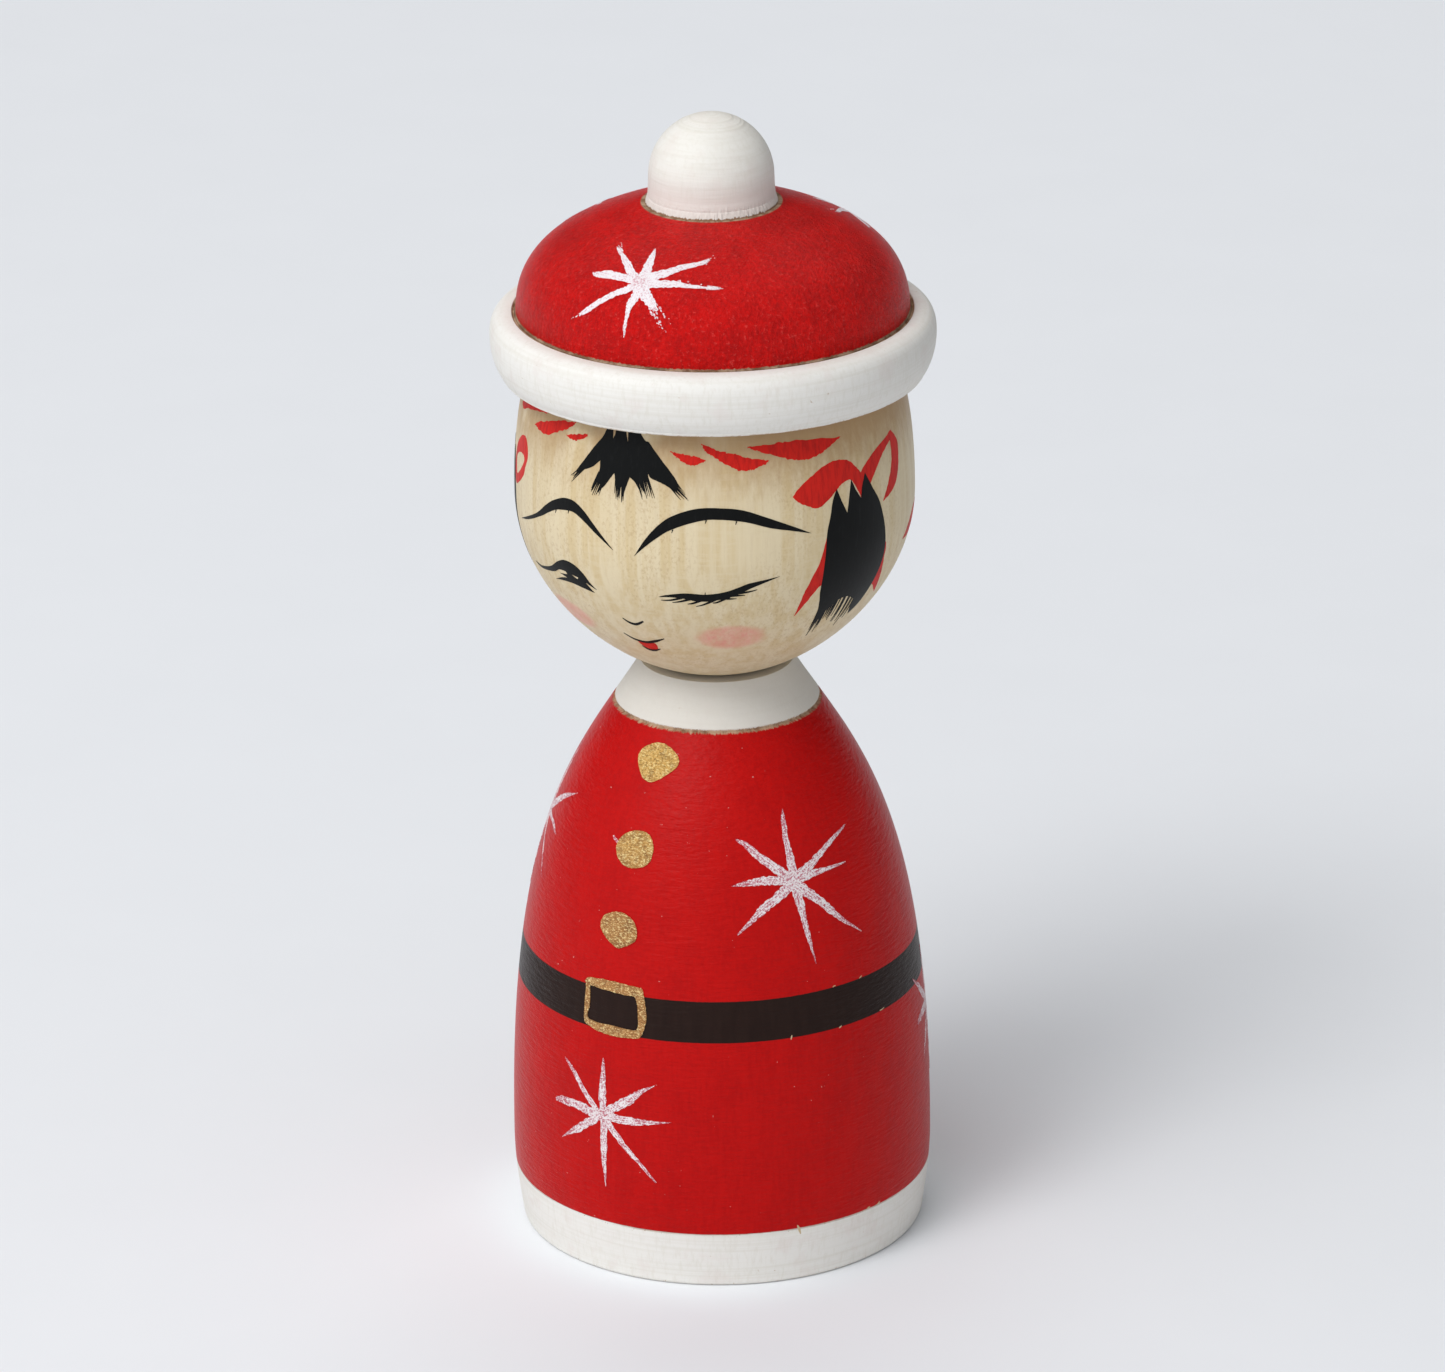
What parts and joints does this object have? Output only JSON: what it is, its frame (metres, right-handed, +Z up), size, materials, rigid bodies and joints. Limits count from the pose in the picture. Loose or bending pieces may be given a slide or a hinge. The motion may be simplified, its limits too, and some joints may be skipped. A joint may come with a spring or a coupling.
{
  "type": "kokeshi doll",
  "caption": "Turned wooden kokeshi doll with a domed coat, a round head on a tenon that turns, and a lift-off brimmed hat with a pompom.",
  "frame": {"origin": "centre of the foot, on the surface that the doll stands on", "axes": "+Z up along the turning axis, and the painted face and buttons look along -Y"},
  "size_m": [0.05, 0.05, 0.132],
  "materials": {
    "red_paint": "satin red paint over fine-grained turned wood",
    "bare_wood": "waxed pale dogwood or maple with fine grain",
    "white_paint": "thin matte white paint over turned wood",
    "brown_paint": "satin dark brown paint over turned wood",
    "black_ink": "satin black brushwork on wood",
    "gold_paint": "brushed-on gold paint with coarse flakes"
  },
  "bodies": {
    "torso": {"torso": "red_paint"},
    "head": {"head": "bare_wood"},
    "hat": {"hat": "red_paint", "pompom": "white_paint"}
  },
  "joints": [
    {"name": "head_turn", "type": "hinge", "parent": "torso", "child": "head", "pos_m": [0, 0, 0.068], "axis": [0, 0, 1], "continuous": true},
    {"name": "hat_lift", "type": "slide", "parent": "head", "child": "hat", "axis": [0, 0, 1], "range_m": [0, 0.03]}
  ]
}
